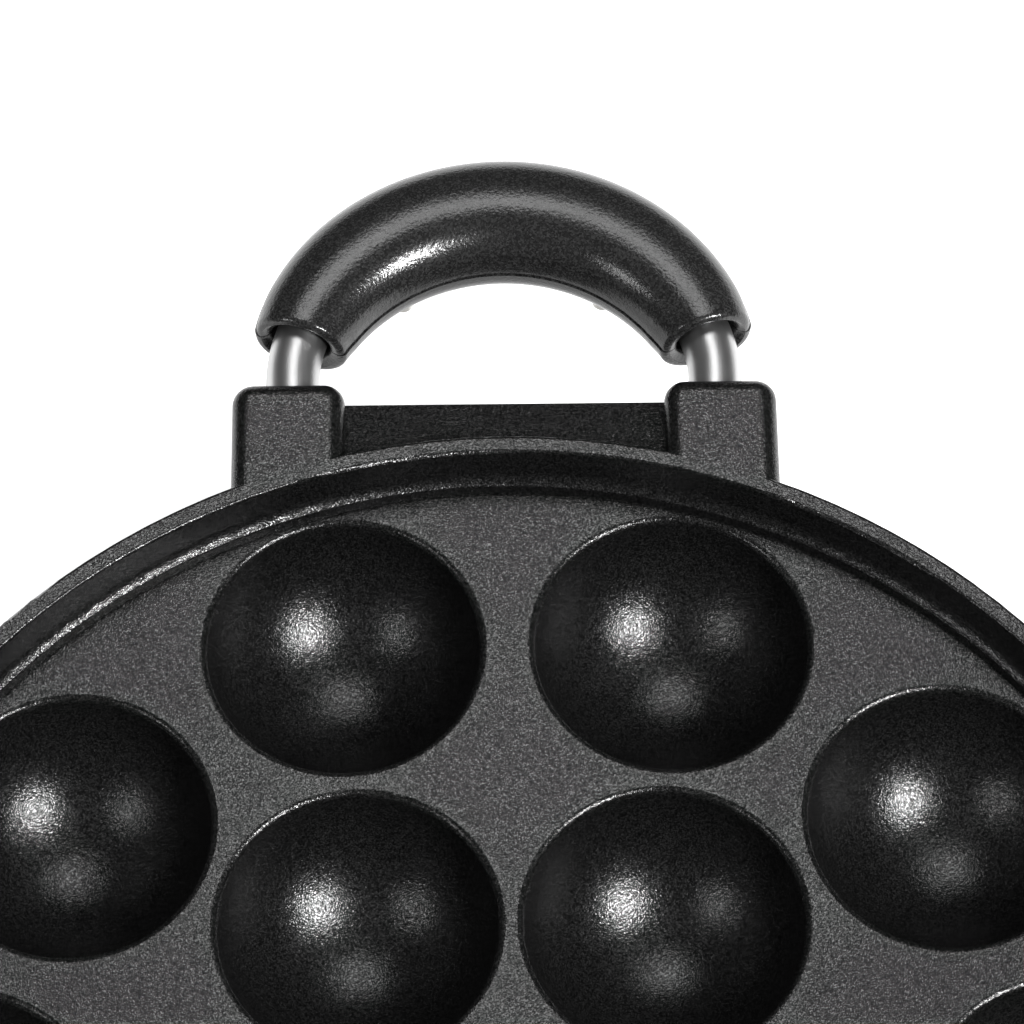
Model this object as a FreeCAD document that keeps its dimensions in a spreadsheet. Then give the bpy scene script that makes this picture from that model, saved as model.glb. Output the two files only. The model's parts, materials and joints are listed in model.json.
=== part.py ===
import FreeCAD, Part
import math
import os
import re
import Sketcher
from FreeCAD import Placement, Rotation, Vector

# Electric maker for ball donuts: a cast cooking plate with fifteen round
# cavities lifts off a round heating base by its two loop handles.
# Frame: +Z up, z = 0 is the table, the plate's axis is the Z axis.
# The rear handle points to +Y, the dial to +X and the power inlet to -X.

DIMENSIONS = {
    # cooking plate, a die casting
    "plate_top": 78.0,
    "flange_radius": 120.4,
    "flange_width": 3.2,
    "flange_depth": 3.0,
    "skirt_radius": 118.2,
    "wall_foot_radius": 116.2,
    "wall_foot_drop": 7.1,
    "step_radius": 114.7,
    "step_drop": 7.9,
    "floor_radius": 114.55,
    "floor_drop": 10.1,
    "floor_thick": 3.0,
    "dome_radius": 23.35,
    "dome_rise": 2.1,
    "dome_wall": 2.6,
    "lip_round": 1.2,
    "wall_foot_round": 2.4,
    "step_round": 0.3,
    "outer_ring": 89.9,
    "inner_ring": 42.9,
    "outer_count": 10,
    "inner_count": 5,
    "boss_ring": 105.0,
    "boss_radius": 3.0,
    "boss_drop": 4.0,
    # lugs and web that carry each handle
    "lug_centre": 37.2,
    "lug_width": 19.4,
    "lug_end": 131.8,
    "lug_height": 17.0,
    "lug_corner": 3.6,
    "lug_round": 3.0,
    "lug_root": 104.0,
    "root_radius": 117.6,
    "web_end": 130.1,
    "web_drop": 4.2,
    "web_slope": 2.2,
    "web_height": 12.0,
    # handle rods
    "rod_drop": 9.0,
    "rod_radius": 4.65,
    "rod_half_span": 36.8,
    "rod_spring": 136.4,
    "rod_rise": 32.4,
    "rod_corner": 26.0,
    "rod_end": 116.4,
    "rod_fit": 0.05,
    "set_screw_radius": 2.5,
    "set_screw_place": 122.5,
    # grips, two shells clamped on each rod
    "grip_outer_top": 180.1,
    "grip_inner_top": 157.5,
    "grip_end_angle": 19.0,
    "grip_half_width": 11.3,
    "grip_end_half_width": 7.8,
    "grip_half_height": 9.0,
    "grip_end_half_height": 7.8,
    "grip_side_round": 4.5,
    "grip_channel_fit": 0.1,
    "grip_mouth_extra": 1.5,
    "grip_mouth_depth": 4.0,
    "grip_gap": 0.1,
    "grip_screw_angle": 55.0,
    "grip_screw_offset": 7.4,
    "grip_screw_radius": 0.9,
    "grip_screw_head": 1.9,
    "grip_screw_head_height": 1.5,
    "grip_screw_sink": 6.4,
    # base shell, a black moulding
    "shell_top": 59.0,
    "shell_radius": 119.0,
    "shell_waist_radius": 114.0,
    "shell_waist": 15.0,
    "shell_foot_radius": 107.0,
    "shell_bottom": 8.0,
    "shell_wall": 2.5,
    "cover_seat": 88.0,
    "ledge_drop": 3.0,
    "ledge_width": 1.0,
    "cover_radius": 104.0,
    "cover_thick": 2.0,
    "cover_screw_ring": 96.0,
    "cover_screw_radius": 1.2,
    "cover_screw_head": 3.2,
    "cover_screw_head_height": 1.8,
    "vent_ring": 52.0,
    "vent_length": 26.0,
    "vent_width": 3.0,
    "foot_ring": 82.0,
    "foot_radius": 9.0,
    "foot_neck_radius": 3.0,
    # control pod on +X and inlet pod on -X
    "pod_face": 117.5,
    "pod_root": 104.0,
    "pod_half_width": 37.0,
    "pod_low": 10.6,
    "pod_high": 46.0,
    "pod_wall": 2.5,
    "dial_height": 28.3,
    "dial_radius": 15.5,
    "dial_depth": 10.0,
    "dial_gap": 0.5,
    "dial_skirt_depth": 3.0,
    "dial_flute_radius": 1.2,
    "bush_radius": 4.2,
    "nut_thick": 2.0,
    "spindle_radius": 3.0,
    "spindle_fit": 0.08,
    "lamp_place": 26.0,
    "lamp_radius": 4.0,
    "neon_radius": 2.6,
    "neon_length": 7.0,
    "inlet_face": 124.5,
    "inlet_half_width": 20.0,
    "inlet_flange": 3.5,
    "inlet_plate_width": 34.0,
    "inlet_plate_height": 26.0,
    "inlet_corner": 4.0,
    "inlet_depth": 19.0,
    "inlet_well_width": 24.0,
    "inlet_well_height": 16.0,
    "inlet_wall": 1.5,
    "inlet_pin_length": 22.0,
    "inlet_pin_width": 2.0,
    "inlet_pin_height": 4.0,
    # heating parts
    "dish_floor": 36.0,
    "dish_floor_radius": 99.0,
    "dish_sheet": 0.8,
    "dish_lip_radius": 114.4,
    "element_ring": 66.6,
    "element_height": 44.0,
    "element_radius": 3.5,
    "element_gap_angle": 14.0,
    "element_bend": 7.0,
    "element_leg_end": 27.0,
    "rest_top_gap": 0.2,
    "rest_inner": 109.5,
    "rest_outer": 119.6,
    "rest_width": 14.0,
    "rest_angle": 36.0,
    # control gear
    "thermostat_depth": 17.0,
    "thermostat_width": 26.0,
    "thermostat_height": 16.5,
    "fuse_radius": 2.0,
    "fuse_length": 12.0,
    "terminal_length": 16.0,
    "terminal_width": 30.0,
    "terminal_height": 11.0,
    "wire_radius": 1.0,
}

doc = FreeCAD.newDocument("donut_maker")
sheet = doc.addObject("Spreadsheet::Sheet", "dims")
for row, (alias, number) in enumerate(DIMENSIONS.items(), start=1):
    sheet.set("A%d" % row, alias.replace("_", " "))
    sheet.set("B%d" % row, str(number))
    sheet.setAlias("B%d" % row, alias)
doc.recompute()

subparts = []
FACING_RIGHT = ((0, 1, 0), 90)


# ---- formulas, primitives and booleans -----------------------------------

def formula(text):
    """A formula in dimension names, with each name pointed at its cell."""
    def cell(word):
        return "dims." + word[0] if word[0] in DIMENSIONS else word[0]
    return re.sub(r"[a-z][a-z_]+", cell, text)


def value(text):
    """The number that a formula comes to now."""
    return float(sheet.evalExpression(formula(text)))


def bind(thing, **sizes):
    """Bind properties of a document object to formulas."""
    for name, text in sizes.items():
        thing.setExpression(name, formula(text))


def place(thing, at, turn=None):
    """Put a document object at three formulas, turned by an axis and degrees."""
    if turn:
        axis, degrees = turn
        thing.Placement = Placement(Vector(), Rotation(Vector(*axis), degrees))
    for letter, text in zip("xyz", at):
        thing.setExpression("Placement.Base." + letter, formula(text))
    return thing


def box(name, size, at, turn=None):
    """A box of three sizes; at is its low corner before any turn."""
    thing = doc.addObject("Part::Box", name)
    bind(thing, Length=size[0], Width=size[1], Height=size[2])
    return place(thing, at, turn)


def cylinder(name, radius, height, at, turn=None):
    thing = doc.addObject("Part::Cylinder", name)
    bind(thing, Radius=radius, Height=height)
    return place(thing, at, turn)


def cone(name, low_radius, high_radius, height, at=(), turn=None):
    thing = doc.addObject("Part::Cone", name)
    bind(thing, Radius1=low_radius, Radius2=high_radius, Height=height)
    return place(thing, at, turn)


def torus(name, ring, tube, at, sweep="360", turn=None):
    thing = doc.addObject("Part::Torus", name)
    bind(thing, Radius1=ring, Radius2=tube, Angle3=sweep)
    return place(thing, at, turn)


def fuse(name, *things):
    joined = doc.addObject("Part::MultiFuse", name)
    joined.Shapes = list(things)
    joined.Refine = True
    return joined


def cut(name, base, *tools):
    """The base less every tool."""
    thing = doc.addObject("Part::Cut", name)
    thing.Base = base
    thing.Tool = tools[0] if len(tools) == 1 else group(name + "_tools", *tools)
    return thing


def common(name, one, other):
    thing = doc.addObject("Part::MultiCommon", name)
    thing.Shapes = [one, other]
    return thing


def group(name, *things):
    """Separate solids kept together in one object."""
    thing = doc.addObject("Part::Compound", name)
    thing.Links = list(things)
    return thing


def mirrored(name, source, normal):
    thing = doc.addObject("Part::Mirroring", name)
    thing.Source = source
    thing.Base = Vector(0, 0, 0)
    thing.Normal = Vector(*normal)
    return thing


def rounded(name, base, radius, wanted):
    """Round the edges of base whose box passes the test wanted."""
    doc.recompute()
    thing = doc.addObject("Part::Fillet", name)
    thing.Base = base
    size = value(radius)
    edges = enumerate(base.Shape.Edges, start=1)
    thing.Edges = [(number, size, size) for number, edge in edges if wanted(edge)]
    return thing


def subpart(label, thing):
    """Name a finished piece; its label becomes its file name."""
    thing.Label = label
    subparts.append(thing)
    return thing


def level(edge, text, slack=0.02):
    """True where an edge lies flat at a height."""
    height = value(text)
    limits = edge.BoundBox
    return abs(limits.ZMin - height) < slack and abs(limits.ZMax - height) < slack


def upright(edge):
    """True for a straight vertical edge."""
    limits = edge.BoundBox
    return limits.ZLength > 0.5 and limits.XLength < 0.01 and limits.YLength < 0.01


def ring_spot(ring, turn):
    """Two formulas for the spot on a ring about Z, at a turn in radians from +Y."""
    return ("%s * %.12f" % (ring, math.sin(turn)), "%s * %.12f" % (ring, math.cos(turn)))


# ---- bodies with sketches --------------------------------------------------

def new_body(name):
    return doc.addObject("PartDesign::Body", name)


def origin_part(body, role):
    """One of a body's own origin planes or axes."""
    for feature in body.Origin.OriginFeatures:
        if feature.Role == role:
            return feature
    raise ValueError(role)


def outline(body, name, role, points):
    """A closed outline of straight sides through points given as formulas."""
    sketch = body.newObject("Sketcher::SketchObject", name)
    sketch.AttachmentSupport = (origin_part(body, role), [""])
    sketch.MapMode = "FlatFace"
    spots = [Vector(value(x), value(y), 0) for x, y in points]
    count = len(spots)
    for index in range(count):
        sketch.addGeometry(Part.LineSegment(spots[index], spots[(index + 1) % count]), False)
    for index in range(count):
        sketch.addConstraint(Sketcher.Constraint("Coincident", index, 2, (index + 1) % count, 1))
    for index, (x, y) in enumerate(points):
        for kind, text, size in (("DistanceX", x, spots[index].x), ("DistanceY", y, spots[index].y)):
            held = sketch.addConstraint(Sketcher.Constraint(kind, -1, 1, index, 1, size))
            sketch.setExpression("Constraints[%d]" % held, formula(text))
    return sketch


def turned(body, name, points):
    """A solid turned about Z from an outline of radius and height."""
    sketch = outline(body, name + "_outline", "XZ_Plane", points)
    feature = body.newObject("PartDesign::Revolution", name)
    feature.Profile = sketch
    feature.ReferenceAxis = (sketch, ["V_Axis"])
    feature.Angle = 360
    sketch.Visibility = False
    return feature


def padded(body, name, role, points, length, **settings):
    """A solid pushed straight out of an outline."""
    sketch = outline(body, name + "_outline", role, points)
    feature = body.newObject("PartDesign::Pad", name)
    feature.Profile = sketch
    bind(feature, Length=length)
    for key, setting in settings.items():
        setattr(feature, key, setting)
    return feature


def spread(body, name, feature, count):
    """Repeat a feature evenly about the body's Z axis."""
    pattern = body.newObject("PartDesign::PolarPattern", name)
    pattern.Originals = [feature]
    pattern.Axis = (origin_part(body, "Z_Axis"), [""])
    pattern.Angle = 360
    bind(pattern, Occurrences=count)
    body.Tip = pattern
    return pattern


def round_body(body, name, radius, wanted):
    """Round the edges of the body that pass the test wanted."""
    doc.recompute()
    base = body.Tip
    feature = body.newObject("PartDesign::Fillet", name)
    edges = enumerate(base.Shape.Edges, start=1)
    feature.Base = (base, ["Edge%d" % number for number, edge in edges if wanted(edge)])
    bind(feature, Radius=radius)
    body.Tip = feature
    return feature


def ball(body, kind, name, radius, ring, angle, high_angle):
    """A ball, or its part below high_angle, on a ring about the plate's axis."""
    feature = body.newObject(kind, name)
    bind(feature, Radius=radius, Angle2=high_angle)
    feature.AttachmentSupport = (origin_part(body, "XY_Plane"), [""])
    feature.MapMode = "FlatFace"
    spot = ring_spot(ring, math.radians(angle)) + ("plate_top - floor_drop + dome_rise",)
    for letter, text in zip("xyz", spot):
        feature.setExpression("AttachmentOffset.Base." + letter, formula(text))
    return feature


# ---- cooking plate ---------------------------------------------------------

PLATE_UNDER = "plate_top - floor_drop - floor_thick"
PLATE_FLOOR = "plate_top - floor_drop"
ROD_HEIGHT = "plate_top - rod_drop"
OUTER_RING_START = 18.0
INNER_RING_START = 36.0


def plate_casting():
    """The turned dish of the plate with its bowls, before the handle lugs."""
    body = new_body("plate_casting")
    turned(body, "plate_disc", [
        ("0", PLATE_UNDER),
        ("skirt_radius", PLATE_UNDER),
        ("skirt_radius", "plate_top - flange_depth"),
        ("flange_radius", "plate_top - flange_depth"),
        ("flange_radius", "plate_top"),
        ("flange_radius - flange_width", "plate_top"),
        ("wall_foot_radius", "plate_top - wall_foot_drop"),
        ("step_radius", "plate_top - step_drop"),
        ("floor_radius", PLATE_FLOOR),
        ("0", PLATE_FLOOR),
    ])
    rings = [("outer", OUTER_RING_START), ("inner", INNER_RING_START)]
    shell_angle = "-asin((dome_rise + 1) / (dome_radius + dome_wall))"
    for ring, start in rings:
        bulge = ball(body, "PartDesign::AdditiveSphere", ring + "_bowl", "dome_radius + dome_wall",
                     ring + "_ring", start, shell_angle)
        spread(body, ring + "_bowls", bulge, ring + "_count")
    for ring, start in rings:
        hollow = ball(body, "PartDesign::SubtractiveSphere", ring + "_cavity", "dome_radius",
                      ring + "_ring", start, "90")
        spread(body, ring + "_cavities", hollow, ring + "_count")

    def lip(edge):
        return level(edge, PLATE_FLOOR) and edge.BoundBox.XLength < value("dome_radius * 2.2")

    def wall_foot(edge):
        return level(edge, "plate_top - wall_foot_drop")

    def step(edge):
        return level(edge, "plate_top - step_drop")

    def flange_edge(edge):
        return level(edge, "plate_top")

    def skirt_foot(edge):
        return level(edge, PLATE_UNDER) and edge.BoundBox.XLength > value("skirt_radius * 1.9")

    round_body(body, "cavity_lips", "lip_round", lip)
    round_body(body, "wall_foot_rounding", "wall_foot_round", wall_foot)
    round_body(body, "step_rounding", "step_round", step)
    round_body(body, "flange_round", "flange_width / 5", flange_edge)
    round_body(body, "skirt_round", "floor_thick / 2", skirt_foot)
    return body


def handle_lug(name):
    """One lug to the right of the rear handle's centre, before it is trimmed."""
    low = "plate_top - lug_height"
    block = box(name + "_block", ("lug_width", "lug_end - lug_root", "lug_height"),
                ("lug_centre - lug_width / 2", "lug_root", low))

    def far_corner(edge):
        return upright(edge) and edge.BoundBox.YMin > value("lug_end") - 0.1

    def free_rim(edge):
        on_level = level(edge, "plate_top") or level(edge, low)
        return on_level and edge.BoundBox.YMax > value("lug_root") + 0.1

    corners = rounded(name + "_corners", block, "lug_corner", far_corner)
    return rounded(name + "_rims", corners, "lug_round", free_rim)


def handle_web():
    """The bridge between two lugs; its top slopes down outwards."""
    body = new_body("handle_web")
    top = "plate_top - web_drop"
    padded(body, "web_block", "YZ_Plane", [
        ("lug_root + 10", "plate_top - web_height"),
        ("web_end", "plate_top - web_height"),
        ("web_end", top + " - web_slope"),
        ("flange_radius - 2", top),
        ("lug_root + 10", top),
    ], "(lug_centre - lug_width / 2 + 2) * 2", Midplane=True)
    return body


def cooking_plate():
    right_lug = handle_lug("right_lug")
    left_lug = mirrored("left_lug", right_lug, (1, 0, 0))
    carrier = fuse("lugs_and_web", right_lug, left_lug, handle_web())
    root = cylinder("lug_root_trim", "root_radius", "lug_height * 3",
                    ("0", "0", "plate_top - lug_height * 2"))
    rear = cut("rear_carrier", carrier, root)
    front = mirrored("front_carrier", rear, (0, 1, 0))
    bosses = [
        cylinder("locating_boss_%d" % number, "boss_radius", "boss_drop + 0.5",
                 ring_spot("boss_ring", turn) + (PLATE_UNDER + " - boss_drop",))
        for number, turn in enumerate(rest_turns(), start=1)
    ]
    casting = fuse("plate_with_lugs", plate_casting(), rear, front, *bosses)
    holes = []
    for end, sign in (("rear", 1), ("front", -1)):
        for side in (1, -1):
            name = "%s_hole_%d" % (end, side)
            across = "%d * rod_half_span" % side
            holes.append(cylinder(name, "rod_radius + rod_fit", "lug_end - rod_end + 5",
                                  (across, "%d * (rod_end - 0.4)" % sign, ROD_HEIGHT),
                                  ((1, 0, 0), -90 * sign)))
            holes.append(cylinder(name + "_tap", "set_screw_radius + rod_fit", "lug_height / 2 + 1",
                                  (across, "%d * set_screw_place" % sign, "plate_top - lug_height - 1")))
    return subpart("cooking_plate", cut("cooking_plate", casting, *holes))


# ---- handles ---------------------------------------------------------------

CROWN_START = "90 deg - 2 * atan((rod_rise - rod_corner) / (rod_half_span - rod_corner))"
CROWN_RADIUS = "(rod_corner + (rod_half_span - rod_corner) / cos(%s))" % CROWN_START
CROWN_CENTRE = "(rod_spring - (rod_half_span - rod_corner) * tan(%s))" % CROWN_START


def rod_along(name, radius):
    """A round bar along the rear handle: two legs, two corners and a crown."""
    pieces = [torus(name + "_crown", CROWN_RADIUS, radius, ("0", CROWN_CENTRE, ROD_HEIGHT),
                    "180 deg - 2 * (%s)" % CROWN_START)]
    start = value(CROWN_START)
    pieces[0].Placement = Placement(Vector(), Rotation(Vector(0, 0, 1), start))
    for side in (1, -1):
        tag = "%s_%s" % (name, "right" if side > 0 else "left")
        corner = torus(tag + "_corner", "rod_corner", radius,
                       ("%d * (rod_half_span - rod_corner)" % side, "rod_spring", ROD_HEIGHT),
                       CROWN_START)
        turn = 0 if side > 0 else 180 - start
        corner.Placement = Placement(Vector(), Rotation(Vector(0, 0, 1), turn))
        leg = cylinder(tag + "_leg", radius, "rod_spring - rod_end",
                       ("%d * rod_half_span" % side, "rod_end", ROD_HEIGHT), ((1, 0, 0), -90))
        pieces += [corner, leg]
    return fuse(name, *pieces)


def path_spot(angle):
    """The point of the rod's line where its outward normal has this angle."""
    turn = math.radians(angle)
    outward = Vector(math.cos(turn), math.sin(turn), 0)
    start = value(CROWN_START)
    if start <= angle <= 180 - start:
        return Vector(0, value(CROWN_CENTRE), value(ROD_HEIGHT)) + outward * value(CROWN_RADIUS)
    side = 1 if angle < 90 else -1
    centre = Vector(side * value("rod_half_span - rod_corner"), value("rod_spring"), value(ROD_HEIGHT))
    return centre + outward * value("rod_corner")


def grip_blank():
    """The whole crown of the grip, lofted through upright ellipses."""
    stations = 11
    first = value("grip_end_angle")
    sections = []
    for number in range(stations):
        angle = first + (180 - 2 * first) * number / (stations - 1)
        thin = abs(angle - 90) / (90 - first)
        section = doc.addObject("Part::Ellipse", "grip_section_%d" % number)
        fade = "%.6f" % thin ** 2
        wide = "grip_half_width - (grip_half_width - grip_end_half_width) * " + fade
        tall = "grip_half_height - (grip_half_height - grip_end_half_height) * " + fade
        bind(section, MajorRadius=wide, MinorRadius=tall)
        about_up = Rotation(Vector(0, 0, 1), angle)
        section.Placement = Placement(path_spot(angle), about_up * Rotation(Vector(1, 0, 0), 90))
        sections.append(section)
    loft = doc.addObject("Part::Loft", "grip_blank")
    loft.Sections = sections
    loft.Solid = True
    loft.Ruled = False
    return loft


def grip_tray():
    """The lower shell's blank: a crescent with upright sides and a rounded floor."""
    body = new_body("grip_tray")
    sketch = body.newObject("Sketcher::SketchObject", "grip_tray_outline")
    sketch.AttachmentSupport = (origin_part(body, "XY_Plane"), [""])
    sketch.MapMode = "FlatFace"
    sketch.setExpression("AttachmentOffset.Base.z", formula(ROD_HEIGHT + " - grip_gap"))
    ends = value("grip_end_angle")
    middle = path_spot(ends)
    turn = math.radians(ends)
    outward = Vector(math.cos(turn), math.sin(turn), 0) * value("grip_end_half_width")
    outer = middle + outward
    inner = middle - outward
    outer_top = Vector(0, value("grip_outer_top"), 0)
    inner_top = Vector(0, value("grip_inner_top"), 0)
    corners = [Vector(spot.x, spot.y, 0) for spot in (outer, inner)]
    flipped = [Vector(-spot.x, spot.y, 0) for spot in corners]
    sketch.addGeometry(Part.Arc(corners[0], outer_top, flipped[0]), False)
    sketch.addGeometry(Part.Arc(corners[1], inner_top, flipped[1]), False)
    sketch.addGeometry(Part.LineSegment(corners[0], corners[1]), False)
    sketch.addGeometry(Part.LineSegment(flipped[0], flipped[1]), False)
    pad = body.newObject("PartDesign::Pad", "grip_tray_pad")
    pad.Profile = sketch
    pad.Reversed = True
    bind(pad, Length="grip_half_height - grip_gap")

    def under(edge):
        return level(edge, ROD_HEIGHT + " - grip_half_height")

    round_body(body, "grip_tray_round", "grip_side_round", under)
    return body


def grip_screw_spots():
    """Where the two screws of the rear grip stand, inside the rod's crown."""
    spots = []
    for angle in (value("grip_screw_angle"), 180 - value("grip_screw_angle")):
        turn = math.radians(angle)
        inward = Vector(-math.cos(turn), -math.sin(turn), 0)
        spots.append(path_spot(angle) + inward * value("grip_screw_offset"))
    return spots


def grip_screw(name, spot):
    """A small screw from below the grip, its head sunk in the lower shell."""
    across = ("%.6f" % spot.x, "%.6f" % spot.y)
    head = cylinder(name + "_head", "grip_screw_head", "grip_screw_head_height",
                    across + (ROD_HEIGHT + " - grip_screw_sink",))
    stem = cylinder(name + "_stem", "grip_screw_radius", "grip_screw_sink + 3.5",
                    across + (ROD_HEIGHT + " - grip_screw_sink + 1.4",))
    return fuse(name, head, stem)


def handles():
    """Both handles: a bent rod, two grip shells and their screws each."""
    rod = rod_along("rear_handle_rod", "rod_radius")
    channel = rod_along("grip_channel", "rod_radius + grip_channel_fit")
    mouths = []
    for side in (1, -1):
        angle = value("grip_end_angle") if side > 0 else 180 - value("grip_end_angle")
        spot = path_spot(angle)
        along = Vector(math.sin(math.radians(angle)), -math.cos(math.radians(angle)), 0) * side
        mouth = cone("grip_mouth_%d" % side, "rod_radius + grip_mouth_extra", "rod_radius + 0.2",
                     "grip_mouth_depth + 1")
        mouth.Placement = Placement(spot + along, Rotation(Vector(0, 0, 1), -along))
        mouths.append(mouth)
    screws = []
    wells = []
    for number, spot in enumerate(grip_screw_spots(), start=1):
        across = ("%.6f" % spot.x, "%.6f" % spot.y)
        screws.append(grip_screw("rear_grip_screw_%d" % number, spot))
        wells.append(cylinder("grip_well_%d" % number, "grip_screw_head + 0.2", "6",
                              across + (ROD_HEIGHT + " - grip_screw_sink + grip_screw_head_height - 5.95",)))
        wells.append(cylinder("grip_bore_%d" % number, "grip_screw_radius + 0.1", "12",
                              across + (ROD_HEIGHT + " - grip_screw_sink",)))
    high = box("grip_upper_half", ("120", "90", "30"), ("-60", "rod_end", ROD_HEIGHT))
    top_blank = common("grip_top_blank", grip_blank(), high)
    top = cut("rear_grip_top", top_blank, channel, *mouths, *wells)
    bottom = cut("rear_grip_bottom", grip_tray(), channel, *mouths, *wells)
    rear = {"handle_rod": rod, "grip_top": top, "grip_bottom": bottom}
    for name, thing in rear.items():
        subpart("rear_" + name, thing)
        subpart("front_" + name, mirrored("front_" + name, thing, (0, 1, 0)))
    front_screws = [mirrored("front_" + screw.Name, screw, (0, 1, 0)) for screw in screws]
    subpart("grip_screws", group("grip_screws", *screws, *front_screws))
    setters = []
    for sign in (1, -1):
        for side in (1, -1):
            setter = cylinder("set_screw_%d_%d" % (sign, side), "set_screw_radius",
                              "lug_height - rod_drop - rod_radius - 0.3",
                              ("%d * rod_half_span" % side, "%d * set_screw_place" % sign,
                               "plate_top - lug_height + 0.2"))
            socket = cylinder("set_socket_%d_%d" % (sign, side), "1.3", "2",
                              ("%d * rod_half_span" % side, "%d * set_screw_place" % sign,
                               "plate_top - lug_height - 0.2"))
            setters.append(cut("rod_set_screw_%d_%d" % (sign, side), setter, socket))
    subpart("rod_set_screws", group("rod_set_screws", *setters))


# ---- base shell and cover --------------------------------------------------

def rest_turns():
    """The angles from +Y, in radians, of the four rests that carry the plate."""
    first = value("rest_angle")
    return [math.radians(angle) for angle in (first, 180 - first, 180 + first, 360 - first)]


def foot_turns():
    return [math.radians(angle) for angle in (45, 135, 225, 315)]


def pod(name, side, face, half_width):
    """A box with rounded sides that grows out of the shell towards +X or -X."""
    start = "pod_root" if side > 0 else "-(%s)" % face
    block = box(name + "_block", ("%s - pod_root" % face, "%s * 2" % half_width, "pod_high - pod_low"),
                (start, "-(%s)" % half_width, "pod_low"))

    def outer_rim(edge):
        limits = edge.BoundBox
        return max(abs(limits.XMin), abs(limits.XMax)) > value(face) - 0.1 and limits.XLength > 1

    def face_rim(edge):
        limits = edge.BoundBox
        return min(abs(limits.XMin), abs(limits.XMax)) > value(face) - 0.1

    sides = rounded(name + "_sides", block, "6", outer_rim)
    solid = rounded(name + "_solid", sides, "2", face_rim)
    inside_start = "pod_root - 3" if side > 0 else "-(%s - pod_wall)" % face
    hollow = box(name + "_hollow",
                 ("%s - pod_root - pod_wall + 3" % face, "(%s - pod_wall) * 2" % half_width,
                  "pod_high - pod_low - pod_wall * 2"),
                 (inside_start, "-(%s - pod_wall)" % half_width, "pod_low + pod_wall"))
    return solid, hollow


def base_shell():
    """The round shell with the control and inlet pods, open at the top and under the cover."""
    body = new_body("shell_ring")
    turned(body, "shell_wall_ring", [
        ("cover_seat", "shell_bottom"),
        ("shell_foot_radius", "shell_bottom"),
        ("shell_waist_radius", "shell_waist"),
        ("shell_radius", "shell_top"),
        ("shell_radius - shell_wall", "shell_top"),
        ("shell_radius - shell_wall", "shell_top - ledge_drop"),
        ("shell_radius - shell_wall - ledge_width", "shell_top - ledge_drop"),
        ("shell_radius - shell_wall - ledge_width", "shell_top - ledge_drop - 2"),
        ("shell_radius - shell_wall - 0.6", "shell_top - ledge_drop - 5"),
        ("shell_waist_radius - shell_wall", "shell_waist + 1"),
        ("shell_foot_radius - 1.5", "shell_bottom + shell_wall"),
        ("cover_seat", "shell_bottom + shell_wall"),
    ])

    def soft(edge):
        limits = edge.BoundBox
        wide = limits.XLength
        at_foot = level(edge, "shell_bottom") and wide > value("shell_foot_radius * 1.95")
        return at_foot or (level(edge, "shell_waist") and wide > value("shell_waist_radius * 1.95"))

    round_body(body, "shell_soft_edges", "3", soft)
    control, control_hollow = pod("control_pod", 1, "pod_face", "pod_half_width")
    inlet, inlet_hollow = pod("inlet_pod", -1, "inlet_face", "inlet_half_width")
    core = cylinder("pod_core", "shell_waist_radius - shell_wall + 0.5", "60", ("0", "0", "0"))
    pods = cut("pods_outside", fuse("pods", control, inlet), core)
    whole = fuse("shell_with_pods", body, pods)
    spindle_hole = cylinder("spindle_hole", "bush_radius + 0.1", "30",
                            ("pod_root", "0", "dial_height"), FACING_RIGHT)
    lamp_holes = [
        cylinder("lamp_hole_%d" % side, "lamp_radius + 0.1", "30",
                 ("pod_root", "%d * lamp_place" % side, "dial_height"), FACING_RIGHT)
        for side in (1, -1)
    ]
    inlet_hole = box("inlet_hole",
                     ("30", "inlet_well_width + inlet_wall * 2 + 0.2",
                      "inlet_well_height + inlet_wall * 2 + 0.2"),
                     ("-inlet_face - 10", "-inlet_well_width / 2 - inlet_wall - 0.1",
                      "dial_height - inlet_well_height / 2 - inlet_wall - 0.1"))
    inside = pod_interior()
    hollows = [common("control_pod_inside", control_hollow, inside),
               common("inlet_pod_inside", inlet_hollow, inside)]
    screw_holes = [
        cylinder("shell_pilot_%d" % number, "cover_screw_radius + 0.1", "8",
                 ring_spot("cover_screw_ring", turn) + ("shell_bottom - 1",))
        for number, turn in enumerate(cover_screw_turns(), start=1)
    ]
    tools = hollows + [spindle_hole] + lamp_holes + [inlet_hole] + screw_holes
    return subpart("base_shell", cut("base_shell", whole, *tools))


def pod_interior():
    """The room inside the pods, out to their walls and clear of the shell's ledge."""
    return cylinder("pod_room", "inlet_face + 10", "40", ("0", "0", "shell_bottom + shell_wall"))


def cover_screw_turns():
    return [math.radians(angle) for angle in (20, 160, 200, 340)]


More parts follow.
